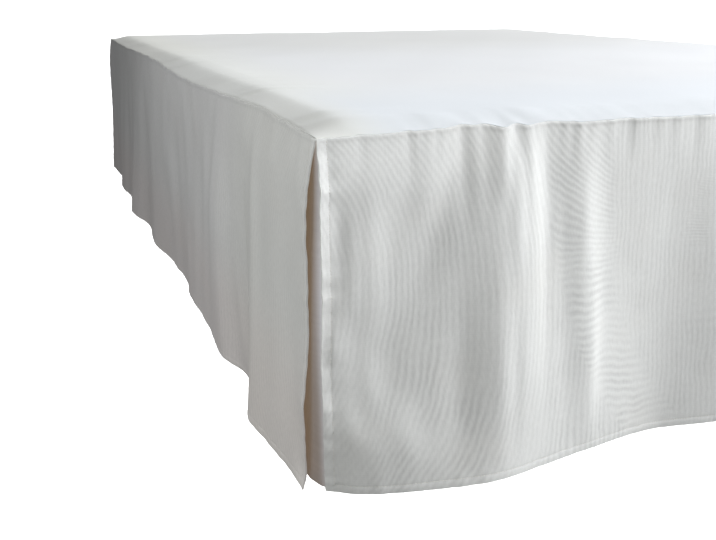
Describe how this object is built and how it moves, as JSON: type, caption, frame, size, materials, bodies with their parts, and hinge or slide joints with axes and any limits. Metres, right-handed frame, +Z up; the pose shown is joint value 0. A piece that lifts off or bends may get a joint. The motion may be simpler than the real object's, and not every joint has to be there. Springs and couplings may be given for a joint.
{
  "type": "bed skirt on a bed base",
  "caption": "Tailored split-corner bed skirt: a flat deck cloth over a plain legged bed base, with softly waved panels hanging to just above the floor on the sides and foot.",
  "frame": {"origin": "on the floor, under the middle of the whole footprint", "axes": "+Z up, +Y from the foot of the bed to its head, +X to the right of someone who stands at the foot and faces the bed"},
  "size_m": [1.4532, 1.985, 0.402],
  "materials": {
    "deck_cloth": "smooth plain-woven white",
    "panel_cloth": "fine-ribbed ivory weave, matt with a slight sheen",
    "base_cover": "plain woven warm grey",
    "leg_wood": "dark stained, satin"
  },
  "bodies": {
    "root": {"deck": "deck_cloth", "side_panel_left": "panel_cloth", "side_panel_right": "panel_cloth", "foot_panel": "panel_cloth", "corner_underlay_left": "panel_cloth", "corner_underlay_right": "panel_cloth", "bed_base": "base_cover", "leg_foot_left": "leg_wood", "leg_foot_right": "leg_wood", "leg_middle_left": "leg_wood", "leg_middle_right": "leg_wood", "leg_head_left": "leg_wood", "leg_head_right": "leg_wood"}
  },
  "joints": []
}
